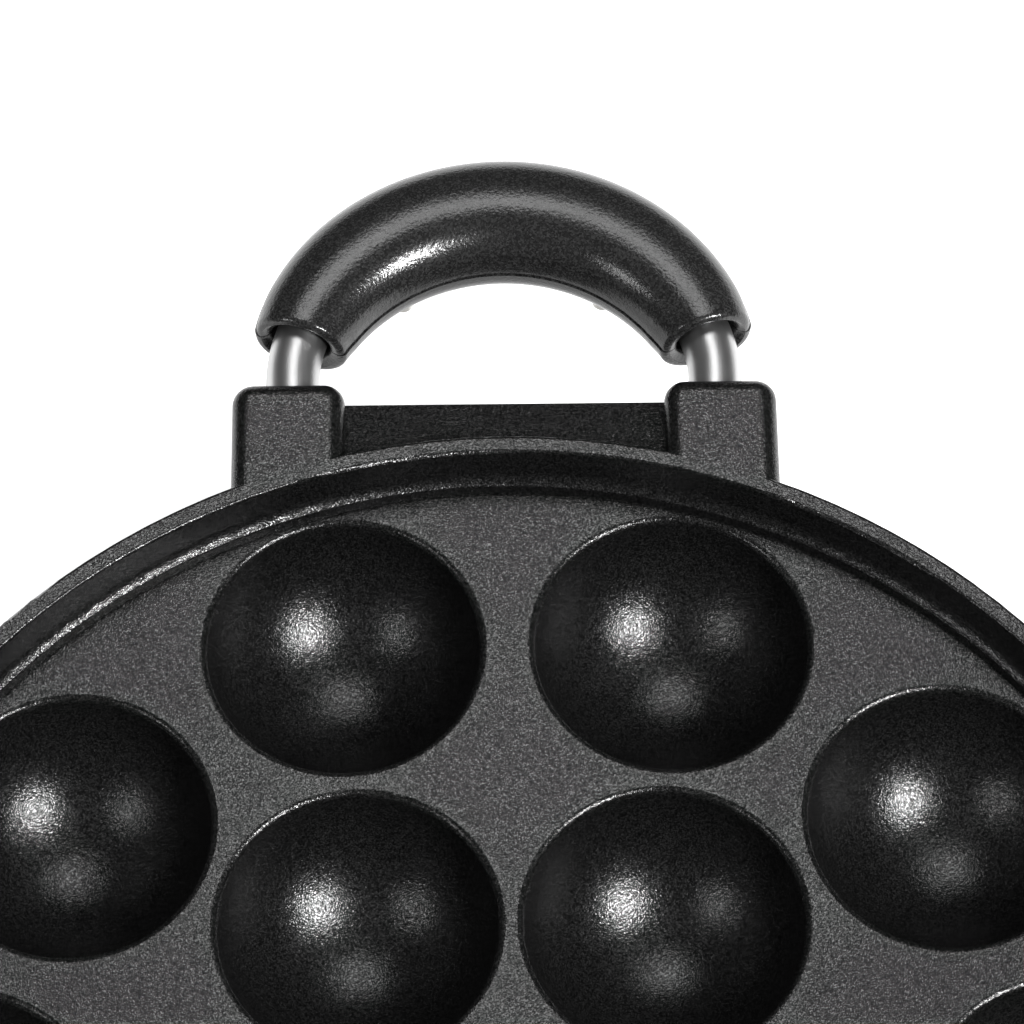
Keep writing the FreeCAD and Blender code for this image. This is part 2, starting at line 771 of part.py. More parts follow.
def base_cover():
    """The vented cover under the shell, with its screws and feet."""
    disc = cylinder("cover_disc", "cover_radius", "cover_thick",
                    ("0", "0", "shell_bottom - cover_thick"))
    low = "shell_bottom - cover_thick - 1"
    slots = []
    for number in range(12):
        degrees = number * 30
        turn = math.radians(degrees)
        along = ("(vent_ring - vent_length / 2) * %.12f + vent_width / 2 * %.12f"
                 % (math.cos(turn), math.sin(turn)))
        across = ("(vent_ring - vent_length / 2) * %.12f - vent_width / 2 * %.12f"
                  % (math.sin(turn), math.cos(turn)))
        slots.append(box("vent_%d" % number, ("vent_length", "vent_width", "cover_thick + 2"),
                         (along, across, low), ((0, 0, 1), degrees)))
    holes = [
        cylinder("cover_hole_%d" % number, "cover_screw_radius + 0.6", "10",
                 ring_spot("cover_screw_ring", turn) + (low,))
        for number, turn in enumerate(cover_screw_turns(), start=1)
    ]
    foot_holes = [
        cylinder("foot_hole_%d" % number, "foot_neck_radius + 0.1", "10",
                 ring_spot("foot_ring", turn) + (low,))
        for number, turn in enumerate(foot_turns(), start=1)
    ]
    subpart("base_cover", cut("base_cover", disc, *slots, *holes, *foot_holes))
    screws = []
    for number, turn in enumerate(cover_screw_turns(), start=1):
        across = ring_spot("cover_screw_ring", turn)
        under_cover = "shell_bottom - cover_thick"
        head = cylinder("cover_screw_head_%d" % number, "cover_screw_head", "cover_screw_head_height",
                        across + (under_cover + " - cover_screw_head_height",))
        stem = cylinder("cover_screw_stem_%d" % number, "cover_screw_radius", "6",
                        across + (under_cover + " - 0.5",))
        slot = box("cover_screw_slot_%d" % number, ("5", "0.8", "0.8"),
                   (across[0] + " - 2.5", across[1] + " - 0.4",
                    under_cover + " - cover_screw_head_height - 0.1"))
        whole = fuse("cover_screw_body_%d" % number, head, stem)
        screws.append(cut("cover_screw_%d" % number, whole, slot))
    subpart("cover_screws", group("cover_screws", *screws))
    names = ("rear_right_foot", "front_right_foot", "front_left_foot", "rear_left_foot")
    for name, turn in zip(names, foot_turns()):
        across = ring_spot("foot_ring", turn)
        pad = cone(name + "_pad", "foot_radius - 1.5", "foot_radius", "shell_bottom - cover_thick",
                   across + ("0",))
        neck = cylinder(name + "_neck", "foot_neck_radius", "cover_thick + 0.6",
                        across + ("shell_bottom - cover_thick - 0.3",))
        button = cone(name + "_button", "foot_neck_radius + 1.2", "foot_neck_radius - 0.4", "2.6",
                      across + ("shell_bottom + 0.1",))
        dimple = cylinder(name + "_dimple", "foot_radius / 3", "1.2", across + ("-0.2",))
        subpart(name, cut(name, fuse(name + "_body", pad, neck, button), dimple))


# ---- dial, lamps and inlet -------------------------------------------------

def control_dial():
    """The fluted dial, its pointer and the spindle that it turns."""
    face = "pod_face + dial_gap"
    skirt = cone("dial_skirt", "dial_radius", "dial_radius - 0.8", "dial_skirt_depth",
                 (face, "0", "dial_height"), FACING_RIGHT)
    drum = cone("dial_drum", "dial_radius - 2.6", "dial_radius - 3.8", "dial_depth - dial_skirt_depth",
                (face + " + dial_skirt_depth", "0", "dial_height"), FACING_RIGHT)
    flutes = []
    for number in range(18):
        turn = math.radians(number * 20 + 10)
        across, up = ring_spot("(dial_radius - 2.4)", turn)
        flutes.append(cylinder("dial_flute_%d" % number, "dial_flute_radius", "dial_depth",
                               (face + " + dial_skirt_depth", across, "dial_height + " + up), FACING_RIGHT))
    bore = cylinder("dial_bore", "spindle_radius + 0.05", "8.5",
                    (face + " - 0.1", "0", "dial_height"), FACING_RIGHT)
    well = cylinder("dial_well", "bush_radius + 3.6", "nut_thick + 1",
                    (face + " - 0.1", "0", "dial_height"), FACING_RIGHT)
    groove = box("dial_pointer_slot", ("1", "1.8", "8.2"),
                 (face + " + dial_depth - 0.9", "-0.9", "dial_height + 2.4"))
    dial = fuse("dial_body", skirt, drum)
    subpart("control_dial", cut("control_dial", dial, bore, well, groove, *flutes))
    subpart("dial_pointer", box("dial_pointer", ("0.7", "1.6", "8"),
                                (face + " + dial_depth - 0.85", "-0.8", "dial_height + 2.5")))
    subpart("dial_spindle", cylinder("dial_spindle", "spindle_radius", "18.5",
                                     (face + " - 10.4", "0", "dial_height"), FACING_RIGHT))


def lamps():
    """Two lamp lenses in the pod's face and the neon lamps behind them."""
    bulbs = []
    for name, side in (("power_lamp_lens", -1), ("ready_lamp_lens", 1)):
        spot = ("%d * lamp_place" % side, "dial_height")
        stem = cylinder(name + "_stem", "lamp_radius", "pod_wall + 3",
                        ("pod_face - pod_wall - 2",) + spot, FACING_RIGHT)
        rim = cone(name + "_rim", "lamp_radius + 0.9", "lamp_radius", "1.3",
                   ("pod_face + 0.05",) + spot, FACING_RIGHT)
        subpart(name, fuse(name, stem, rim))
        bulbs.append(cylinder("neon_glass_%d" % side, "neon_radius", "neon_length",
                              ("pod_face - pod_wall - neon_length - 2.4",) + spot, FACING_RIGHT))
    subpart("neon_lamps", group("neon_lamps", *bulbs))


def power_inlet():
    """A three-pin appliance inlet, its face plate and tub in one moulding."""
    out = "-inlet_face - inlet_flange"
    plate = box("inlet_plate", ("inlet_flange - 0.1", "inlet_plate_width", "inlet_plate_height"),
                (out, "-inlet_plate_width / 2", "dial_height - inlet_plate_height / 2"))

    def corner(edge):
        limits = edge.BoundBox
        return limits.XLength > 1 and limits.YLength < 0.01 and limits.ZLength < 0.01

    face = rounded("inlet_face_plate", plate, "inlet_corner", corner)
    tub = box("inlet_tub",
              ("inlet_depth", "inlet_well_width + inlet_wall * 2", "inlet_well_height + inlet_wall * 2"),
              ("-inlet_face - 0.2", "-inlet_well_width / 2 - inlet_wall",
               "dial_height - inlet_well_height / 2 - inlet_wall"))
    well = box("inlet_well", ("inlet_depth", "inlet_well_width", "inlet_well_height"),
               (out + " - 1", "-inlet_well_width / 2", "dial_height - inlet_well_height / 2"))
    body = cut("inlet_moulding", fuse("inlet_blank", face, tub), well)
    slots = []
    pins = []
    for number, (across, up) in enumerate(((-7, -1.8), (0, 2.2), (7, -1.8)), start=1):
        edge = "%d - inlet_pin_width / 2" % across
        under = "dial_height + %.1f - inlet_pin_height / 2" % up
        slots.append(box("inlet_slot_%d" % number,
                         ("inlet_pin_length + 8", "inlet_pin_width + 0.2", "inlet_pin_height + 0.2"),
                         ("-inlet_face", edge + " - 0.1", under + " - 0.1")))
        pins.append(box("inlet_pin_%d" % number,
                        ("inlet_pin_length", "inlet_pin_width", "inlet_pin_height"),
                        ("-inlet_face + 2", edge, under)))
    subpart("power_inlet", cut("power_inlet", body, *slots))
    subpart("inlet_pins", group("inlet_pins", *pins))


# ---- heating parts ---------------------------------------------------------

def reflector_dish():
    """A pressed dish hung from the shell's ledge under the bowls."""
    body = new_body("dish_sheet_metal")
    seat = "shell_top - ledge_drop"
    turned(body, "dish_ring", [
        ("0", "dish_floor"),
        ("dish_floor_radius", "dish_floor"),
        ("dish_lip_radius + dish_sheet", seat + " + 0.05"),
        ("shell_radius - shell_wall - 0.3", seat + " + 0.05"),
        ("shell_radius - shell_wall - 0.3", seat + " + 0.05 + dish_sheet"),
        ("dish_lip_radius", seat + " + 0.05 + dish_sheet"),
        ("dish_floor_radius - dish_sheet / 2", "dish_floor + dish_sheet"),
        ("0", "dish_floor + dish_sheet"),
    ])
    leg_spot = ELEMENT_LEG
    holes = [
        cylinder("dish_leg_hole_%d" % side, "element_radius + 1", "10",
                 (leg_spot[0], "%d * (%s)" % (side, leg_spot[1]), "dish_floor - 4"))
        for side in (1, -1)
    ]
    subpart("reflector_dish", cut("reflector_dish", body, *holes))
    pad = cylinder("insulation_disc", "dish_floor_radius - 12", "2.5",
                   ("0", "0", "dish_floor - 2.6"))
    pad_holes = [
        cylinder("pad_leg_hole_%d" % side, "element_radius + 1.5", "10",
                 (leg_spot[0], "%d * (%s)" % (side, leg_spot[1]), "dish_floor - 6"))
        for side in (1, -1)
    ]
    subpart("insulation_pad", cut("insulation_pad", pad, *pad_holes))


ELEMENT_END = ("-element_ring * cos(element_gap_angle)", "element_ring * sin(element_gap_angle)")
ELEMENT_LEG = ("-element_ring * cos(element_gap_angle) - element_bend * sin(element_gap_angle)",
               "(element_ring * sin(element_gap_angle) - element_bend * cos(element_gap_angle))")


def heating_element():
    """A sheathed tube bent to one ring, its two ends turned down beside the inlet."""
    gap = value("element_gap_angle")
    ring = torus("element_loop", "element_ring", "element_radius", ("0", "0", "element_height"),
                 "360 - 2 * element_gap_angle", ((0, 0, 1), 180 + gap))
    pieces = [ring]
    ends = []
    for side in (1, -1):
        bend = torus("element_bend_%d" % side, "element_bend", "element_radius",
                     (ELEMENT_END[0], "%d * %s" % (side, ELEMENT_END[1]), "element_height - element_bend"),
                     "90")
        towards_gap = Vector(-math.sin(math.radians(gap)), -side * math.cos(math.radians(gap)), 0)
        upwards = Vector(0, 0, 1)
        axis = towards_gap.cross(upwards)
        bend.Placement = Placement(Vector(), Rotation(towards_gap, upwards, axis, "XYZ"))
        leg = cylinder("element_leg_%d" % side, "element_radius",
                       "element_height - element_bend - element_leg_end",
                       (ELEMENT_LEG[0], "%d * %s" % (side, ELEMENT_LEG[1]), "element_leg_end"))
        pieces += [bend, leg]
        pin = cylinder("terminal_pin_%d" % side, "1.2", "7",
                       (ELEMENT_LEG[0], "%d * %s" % (side, ELEMENT_LEG[1]), "element_leg_end - 7.2"))
        ends.append(pin)
    subpart("heating_element", fuse("heating_element", *pieces))
    subpart("element_terminals", group("element_terminals", *ends))
    cradles = []
    tube = torus("cradle_tube", "element_ring", "element_radius + 0.1", ("0", "0", "element_height"))
    for number, degrees in enumerate((0, 90, 270), start=1):
        turn = math.radians(degrees)
        x = "(element_ring - 4) * %.12f + 4 * %.12f" % (math.cos(turn), math.sin(turn))
        y = "(element_ring - 4) * %.12f - 4 * %.12f" % (math.sin(turn), math.cos(turn))
        post = box("cradle_post_%d" % number,
                   ("8", "8", "element_height - dish_floor - dish_sheet - 0.1"),
                   (x, y, "dish_floor + dish_sheet + 0.05"), ((0, 0, 1), degrees))
        cradles.append(cut("element_cradle_%d" % number, post, tube))
    subpart("element_cradles", group("element_cradles", *cradles))


def plate_rests():
    """Four moulded rests clipped over the shell's top edge, between the bowls."""
    top = PLATE_UNDER + " - rest_top_gap"
    ring_outer = cylinder("rest_slot_outer", "shell_radius + 0.15", "20",
                          ("0", "0", "shell_top - 19.9"))
    ring_inner = cylinder("rest_slot_inner", "shell_radius - shell_wall - 0.15", "30",
                          ("0", "0", "shell_top - 24"))
    slot = cut("rest_slot", ring_outer, ring_inner)
    rests = []
    for number, turn in enumerate(rest_turns(), start=1):
        degrees = 90 - math.degrees(turn)
        flat = math.radians(degrees)
        x = "rest_inner * %.12f + rest_width / 2 * %.12f" % (math.cos(flat), math.sin(flat))
        y = "rest_inner * %.12f - rest_width / 2 * %.12f" % (math.sin(flat), math.cos(flat))
        block = box("rest_block_%d" % number,
                    ("rest_outer - rest_inner", "rest_width", "(%s) - shell_top + 2" % top),
                    (x, y, "shell_top - 2"), ((0, 0, 1), degrees))
        rests.append(cut("plate_rest_%d" % number, block, slot))
    subpart("plate_rests", group("plate_rests", *rests))


# ---- thermostat, fuse and terminals ----------------------------------------

def control_gear():
    """The thermostat and its nut, the thermal fuse in its clamp and the terminal block."""
    wall = "(pod_face - pod_wall - 0.1)"
    case = box("thermostat_case", ("thermostat_depth", "thermostat_width", "thermostat_height"),
               (wall + " - thermostat_depth", "-thermostat_width / 2", "dial_height - 9.3"))
    bush = cylinder("thermostat_bush", "bush_radius", "pod_wall + 3",
                    (wall + " - 0.2", "0", "dial_height"), FACING_RIGHT)
    socket = cylinder("thermostat_socket", "spindle_radius + spindle_fit", "20",
                      (wall + " - 9", "0", "dial_height"), FACING_RIGHT)
    subpart("thermostat", cut("thermostat", fuse("thermostat_body", case, bush), socket))
    nut = doc.addObject("Part::Prism", "nut_blank")
    nut.Polygon = 6
    bind(nut, Circumradius="bush_radius + 2.6", Height="nut_thick")
    place(nut, ("pod_face + 0.05", "0", "dial_height"), FACING_RIGHT)
    nut_bore = cylinder("nut_bore", "bush_radius + 0.05", "10",
                        ("pod_face - 2", "0", "dial_height"), FACING_RIGHT)
    subpart("thermostat_nut", cut("thermostat_nut", nut, nut_bore))
    fuse_case = cylinder("fuse_case", "fuse_radius", "fuse_length",
                         ("-20", "-30", "dish_floor - 5"), FACING_RIGHT)
    subpart("thermal_fuse", fuse_case)
    clamp = box("fuse_strap", ("4", "8", "4.6"), ("-16", "-34", "dish_floor - 7.3"))
    clamp_bore = cylinder("fuse_strap_bore", "fuse_radius + 0.05", "20",
                          ("-24", "-30", "dish_floor - 5"), FACING_RIGHT)
    subpart("fuse_clamp", cut("fuse_clamp", clamp, clamp_bore))
    block = box("terminal_housing", ("terminal_length", "terminal_width", "terminal_height"),
                ("-86", "-terminal_width / 2", "shell_bottom + 0.1"))
    ways = [
        cylinder("terminal_way_%d" % number, "2", "terminal_length + 2",
                 ("-87", str(offset), "shell_bottom + 4"), FACING_RIGHT)
        for number, offset in enumerate((-9, 0, 9), start=1)
    ]
    subpart("terminal_block", cut("terminal_block", block, *ways))


def bent_wire(name, points):
    """An insulated wire: straight runs joined by arcs, as wide as the runs allow."""
    radius = value("wire_radius")
    edges = []
    start = points[0]
    for before, corner, after in zip(points, points[1:], points[2:]):
        back = (before - corner).normalize()
        ahead = (after - corner).normalize()
        turn = math.pi - back.getAngle(ahead)
        reach = min(0.45 * min((before - corner).Length, (after - corner).Length), 9 * math.tan(turn / 2))
        bend = reach / math.tan(turn / 2)
        inwards = (back + ahead).normalize()
        centre = corner + inwards * (bend / math.cos(turn / 2))
        leave = corner + back * reach
        arrive = corner + ahead * reach
        edges.append(Part.LineSegment(start, leave).toShape())
        edges.append(Part.Arc(leave, centre - inwards * bend, arrive).toShape())
        start = arrive
    edges.append(Part.LineSegment(start, points[-1]).toShape())
    ring = Part.Wire(Part.Circle(points[0], points[1] - points[0], radius).toShape())
    thing = doc.addObject("Part::Feature", name)
    thing.Shape = Part.Wire(edges).makePipeShell([ring], True, True)
    return thing


def wiring():
    """The leads between the inlet, terminal block, thermostat, fuse, lamps and element."""
    pins = -value("inlet_face") + 24.2
    pin_low = value("dial_height") - 1.8
    pin_high = value("dial_height") + 2.2
    way = value("shell_bottom") + 4.0
    block_left, block_right = -86.2, -69.8
    leg_x = value(ELEMENT_LEG[0])
    leg_y = value(ELEMENT_LEG[1])
    leg_end = value("element_leg_end") - 7.3
    gear = value("pod_face - pod_wall - 0.1") - 17.5
    dial = value("dial_height")
    fuse_line = value("dish_floor") - 5.0
    runs = {
        "live_wires": [
            [(pins, -7, pin_low), (pins + 3, -7, pin_low), (pins + 3, -9, way), (block_left, -9, way)],
            [(block_right, -9, way), (-62, -9, way), (-46, -44, way + 2), (44, -44, way + 2),
             (74, -9, way + 6), (gear, -9, dial - 4)],
            [(gear, 4, dial), (60, 2, dial - 2), (30, -24, fuse_line - 3), (6, -30, fuse_line),
             (-7.8, -30, fuse_line)],
            [(-20.2, -30, fuse_line), (-34, -30, fuse_line), (-52, -22, fuse_line - 8),
             (leg_x, -leg_y, way + 1), (leg_x, -leg_y, leg_end)],
        ],
        "neutral_wires": [
            [(pins, 7, pin_low), (pins + 3, 7, pin_low), (pins + 3, 9, way), (block_left, 9, way)],
            [(block_right, 9, way), (leg_x, 9, way), (leg_x, leg_y, leg_end)],
        ],
        "earth_wire": [
            [(pins, 0, pin_high), (pins + 3, 0, pin_high), (pins + 3, 0, way), (block_left, 0, way)],
        ],
        "lamp_wires": [
            [(105.4, side * 26, dial), (99, side * 26, dial), (92, side * 22, dial - 5),
             (gear - 3, side * 11, dial - 5), (gear, side * 11, dial - 5)]
            for side in (-1, 1)
        ],
    }
    for name, lines in runs.items():
        wires = [
            bent_wire("%s_%d" % (name, number), [Vector(*spot) for spot in line])
            for number, line in enumerate(lines, start=1)
        ]
        subpart(name, group(name, *wires))


cooking_plate()
handles()
base_shell()
base_cover()
control_dial()
lamps()
power_inlet()
reflector_dish()
heating_element()
plate_rests()
control_gear()
wiring()
doc.recompute()

broken = [thing.Name for thing in doc.Objects if "Invalid" in thing.State or "Error" in thing.State]
for thing in subparts:
    shape = thing.Shape
    if shape.isNull() or not shape.isValid() or not shape.Solids:
        broken.append(thing.Label)
if broken:
    raise RuntimeError("not sound: " + ", ".join(broken))

os.makedirs("parts", exist_ok=True)
for thing in subparts:
    thing.Shape.exportStep("parts/%s.step" % thing.Label)
    limits = thing.Shape.BoundBox
    print("%-20s %2d solids %10.1f mm3  x %.1f..%.1f y %.1f..%.1f z %.1f..%.1f" % (
        thing.Label, len(thing.Shape.Solids), thing.Shape.Volume, limits.XMin, limits.XMax,
        limits.YMin, limits.YMax, limits.ZMin, limits.ZMax))
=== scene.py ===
import json
import math

import bpy
import bmesh
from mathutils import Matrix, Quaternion, Vector


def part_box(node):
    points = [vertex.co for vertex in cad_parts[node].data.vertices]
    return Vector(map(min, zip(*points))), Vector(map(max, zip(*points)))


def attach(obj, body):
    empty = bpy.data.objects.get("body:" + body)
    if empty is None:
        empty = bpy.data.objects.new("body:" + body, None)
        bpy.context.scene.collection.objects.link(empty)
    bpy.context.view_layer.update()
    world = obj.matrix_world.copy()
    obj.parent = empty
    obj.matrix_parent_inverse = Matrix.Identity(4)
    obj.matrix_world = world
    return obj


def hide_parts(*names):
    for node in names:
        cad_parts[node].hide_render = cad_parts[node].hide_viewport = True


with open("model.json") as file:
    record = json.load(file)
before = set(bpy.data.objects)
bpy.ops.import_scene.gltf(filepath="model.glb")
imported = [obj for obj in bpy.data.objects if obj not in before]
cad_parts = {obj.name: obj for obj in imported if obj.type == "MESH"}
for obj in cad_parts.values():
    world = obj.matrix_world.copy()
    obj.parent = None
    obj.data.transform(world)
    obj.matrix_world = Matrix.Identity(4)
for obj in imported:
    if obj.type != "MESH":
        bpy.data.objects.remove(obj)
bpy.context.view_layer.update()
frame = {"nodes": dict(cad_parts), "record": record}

# Electric maker for ball donuts. Metres, +Z up, the table at z = 0.
# The rear handle points to +Y, the dial to +X and the inlet to -X.

MM = 0.001
SHARP_ANGLE = math.radians(40)
nodes = frame["nodes"]

plate_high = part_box("cooking_plate")[1]
PLATE_TOP = plate_high.z
PLATE_RADIUS = plate_high.x
rod_low, rod_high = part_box("rear_handle_rod")
ROD_RADIUS = (rod_high.z - rod_low.z) / 2
ROD_HEIGHT = (rod_high.z + rod_low.z) / 2
ROD_HALF_SPAN = rod_high.x - ROD_RADIUS


# ---- camera ------------------------------------------------------------

CAMERA_ELEVATION = 62.2
CAMERA_AZIMUTH = -0.878
CAMERA_ROLL = 0.149
CAMERA_DISTANCE = 0.764
CAMERA_LENS = 158.5
AIM = Vector((0.0010, PLATE_RADIUS * 0.8765, PLATE_TOP))


def add_camera():
    """A long lens looking down over the plate at the rear handle."""
    turn = math.radians(CAMERA_AZIMUTH)
    rise = math.radians(CAMERA_ELEVATION)
    back = Vector((math.sin(turn) * math.cos(rise), -math.cos(turn) * math.cos(rise), math.sin(rise)))
    camera = bpy.data.objects.new("camera", bpy.data.cameras.new("camera"))
    camera.data.lens = CAMERA_LENS
    camera.data.sensor_width = 36
    camera.location = AIM + back * CAMERA_DISTANCE
    upright = (-back).to_track_quat("-Z", "Y")
    rolled = Quaternion((0, 0, 1), math.radians(CAMERA_ROLL))
    camera.rotation_mode = "QUATERNION"
    camera.rotation_quaternion = upright @ rolled
    bpy.context.scene.collection.objects.link(camera)
    bpy.context.scene.camera = camera


# ---- shader maths ------------------------------------------------------

class Signal:
    """A shader socket that adds Math nodes when it is used in an expression."""

    def __init__(self, paint, socket):
        self.paint = paint
        self.socket = socket

    def maths(self, operation, first, second):
        return self.paint.node("ShaderNodeMath", {"operation": operation}, {0: first, 1: second})

    def __add__(self, other):
        return self.maths("ADD", self, other)

    def __radd__(self, other):
        return self.maths("ADD", other, self)

    def __mul__(self, other):
        return self.maths("MULTIPLY", self, other)

    def __rmul__(self, other):
        return self.maths("MULTIPLY", other, self)


class Paint:
    """One material and the nodes that make it."""

    def __init__(self, name):
        self.material = bpy.data.materials.new(name)
        self.material.use_nodes = True
        self.tree = self.material.node_tree
        self.tree.nodes.clear()
        self.place = self.node("ShaderNodeTexCoord", output="Object")

    def node(self, kind, settings=None, inputs=None, output=0):
        """A node of this type, its settings made first, then its sockets."""
        made = self.tree.nodes.new(kind)
        for name, setting in (settings or {}).items():
            setattr(made, name, setting)
        for key, given in (inputs or {}).items():
            if isinstance(given, Signal):
                self.tree.links.new(given.socket, made.inputs[key])
            else:
                made.inputs[key].default_value = given
        return Signal(self, made.outputs[output])

    def noise(self, scale, detail=2.0, roughness=0.5, stretch=None):
        """Noise of this many features to the metre, stretched along an axis if asked."""
        where = self.place
        if stretch:
            where = self.node("ShaderNodeMapping", {}, {"Vector": where, "Scale": stretch})
        return self.node("ShaderNodeTexNoise", {}, {
            "Vector": where, "Scale": scale, "Detail": detail, "Roughness": roughness})

    def grains(self, scale):
        """One random level for each small grain."""
        cells = self.node("ShaderNodeTexVoronoi", {"feature": "F1"}, {"Vector": self.place, "Scale": scale},
                          "Color")
        return self.node("ShaderNodeSeparateColor", {}, {"Color": cells})

    def mix(self, factor, first, second):
        """A blend of two colours."""
        inputs = {"Factor": factor, 6: first, 7: second}
        return self.node("ShaderNodeMix", {"data_type": "RGBA"}, inputs, 2)

    def bump(self, height, depth, under=None):
        """Relief of this depth in metres, over another relief if one is given."""
        inputs = {"Height": height, "Strength": 1.0, "Distance": depth}
        if under:
            inputs["Normal"] = under
        return self.node("ShaderNodeBump", {}, inputs)

    def finish(self, **sockets):
        """Close the material with a Principled shader."""
        inputs = {name.replace("_", " "): given for name, given in sockets.items()}
        shader = self.node("ShaderNodeBsdfPrincipled", {}, inputs)
        output = self.tree.nodes.new("ShaderNodeOutputMaterial")
        self.tree.links.new(shader.socket, output.inputs["Surface"])
        return self.material


def colour(grey, red=1.0, green=1.0, blue=1.0):
    """A grey of this level, tinted by the share of each primary that it keeps."""
    return (grey * red, grey * green, grey * blue, 1.0)


def darker(tone, share):
    """This share of a colour's light."""
    return tuple(share * level for level in tone[:3]) + (1.0,)


# ---- finishes ----------------------------------------------------------

def nonstick_coat():
    """Black non-stick coating over a blasted casting: each grain glints for itself."""
    paint = Paint("nonstick_coat")
    level = paint.grains(5200)
    swell = paint.noise(700, 2.0, 0.5)
    grit = paint.noise(4200, 0.0, 0.5)
    tone = paint.mix(level * level, colour(0.011), colour(0.1))
    relief = paint.bump(swell, 1e-5, paint.bump(grit, 5.5e-5))
    return paint.finish(Base_Color=tone, Metallic=0.86, Roughness=0.19 + 0.08 * level, Normal=relief)


def satin_steel():
    """Drawn steel rod, satin with fine lengthwise scratches."""
    paint = Paint("satin_steel")
    scratches = paint.noise(1100, 3.0, 0.65, (1.0, 0.1, 1.0))
    streaks = paint.noise(420, 2.0, 0.5, (1.0, 0.08, 1.0))
    tone = paint.mix(streaks, colour(0.36), colour(0.62))
    relief = paint.bump(scratches, 2.5e-5)
    return paint.finish(Base_Color=tone, Metallic=1.0, Roughness=0.3 + 0.14 * scratches, Normal=relief)


def grip_plastic():
    """Semi-gloss black phenolic with an orange-peel skin."""
    paint = Paint("grip_plastic")
    peel = paint.noise(1700, 2.0, 0.6)
    dents = paint.noise(420, 3.0, 0.5)
    wear = paint.noise(120, 3.0)
    speckle = paint.grains(3600)
    tone = paint.mix(speckle * speckle, colour(0.008), colour(0.034))
    relief = paint.bump(dents, 2.4e-5, paint.bump(peel, 6.5e-5))
    return paint.finish(Base_Color=tone, Roughness=0.15 + 0.1 * wear, Normal=relief,
                        Specular_IOR_Level=0.5)


def moulding(name, tone, roughness=0.45, grain=1400, depth=1.6e-5):
    """Moulded plastic with a spark-eroded grain."""
    paint = Paint(name)
    spark = paint.noise(grain, 3.0, 0.6)
    patches = paint.noise(60, 2.0)
    shade = paint.mix(patches, tone, darker(tone, 0.8))
    return paint.finish(Base_Color=shade, Roughness=roughness - 0.05 + 0.1 * spark,
                        Normal=paint.bump(spark, depth))


def metal(name, tone, roughness=0.3, grain=500, depth=6e-6):
    """Plain metal with a fine worked surface."""
    paint = Paint(name)
    worked = paint.noise(grain, 3.0, 0.6)
    shade = paint.mix(worked, tone, darker(tone, 0.82))
    return paint.finish(Base_Color=shade, Metallic=1.0, Roughness=roughness - 0.08 + 0.16 * worked,
                        Normal=paint.bump(worked, depth))


def felt():
    """Pressed mineral felt."""
    paint = Paint("felt")
    fibres = paint.noise(900, 4.0, 0.7)
    tone = paint.mix(fibres, colour(0.75, 1, 0.96, 0.86), colour(0.5, 1, 0.95, 0.85))
    return paint.finish(Base_Color=tone, Roughness=0.95, Normal=paint.bump(fibres, 2e-4))


def lens(name, tone):
    """Coloured clear plastic lens with a prismatic back."""
    paint = Paint(name)
    prisms = paint.noise(700, 1.0)
    shade = paint.mix(prisms, tone, darker(tone, 0.55))
    return paint.finish(Base_Color=shade, Roughness=0.08 + 0.05 * prisms, Normal=paint.bump(prisms, 1e-5))


FINISHES = {
    "nonstick": nonstick_coat(),
    "steel_rod": satin_steel(),
    "grip": grip_plastic(),
    "screw": metal("zinc_plate", colour(0.55, 1, 0.98, 0.93)),
    "shell": moulding("shell_plastic", colour(0.012)),
    "cover": moulding("cover_plastic", colour(0.02), 0.55),
    "rubber_foot": moulding("foot_rubber", colour(0.014), 0.8, 900, 3e-5),
    "dial": moulding("dial_plastic", colour(0.014), 0.35, 1800, 8e-6),
    "pointer": moulding("pointer_white", colour(0.8), 0.4, 2000, 4e-6),
    "red_lens": lens("red_lens", (0.5, 0.012, 0.008, 1.0)),
    "green_lens": lens("green_lens", (0.02, 0.3, 0.06, 1.0)),
    "lamp_glass": moulding("lamp_glass", colour(0.6, 1, 0.9, 0.8), 0.1, 600, 2e-6),
    "inlet": moulding("inlet_plastic", colour(0.012), 0.4),
    "brass_pin": metal("nickelled_pin", colour(0.6, 1, 0.95, 0.85), 0.25),
    "bright_dish": metal("bright_dish", colour(0.72), 0.22, 300, 1e-5),
    "insulation": felt(),
    "element": metal("element_sheath", colour(0.16, 1, 0.93, 0.88), 0.5, 700, 1e-5),
    "bracket": metal("plain_bracket", colour(0.5), 0.35),
    "rest": moulding("rest_moulding", colour(0.022, 1, 0.95, 0.9), 0.6, 1100, 3e-5),
    "thermostat": moulding("thermostat_case", (0.16, 0.07, 0.03, 1.0), 0.4),
    "terminal": moulding("terminal_ivory", (0.62, 0.58, 0.46, 1.0), 0.5),
    "live_wire": moulding("brown_sleeve", (0.15, 0.05, 0.02, 1.0), 0.5),
    "neutral_wire": moulding("blue_sleeve", (0.02, 0.08, 0.35, 1.0), 0.5),
    "earth_wire": moulding("green_sleeve", (0.1, 0.35, 0.05, 1.0), 0.5),
}


def finish_cad_nodes():
    """Give every CAD node the finish of its record slot."""
    for entry in frame["record"]["subparts"]:
        mesh = nodes[entry["node"]].data
        for index in range(len(mesh.materials)):
            mesh.materials[index] = FINISHES[entry["material_slot"]]


# ---- grips -------------------------------------------------------------

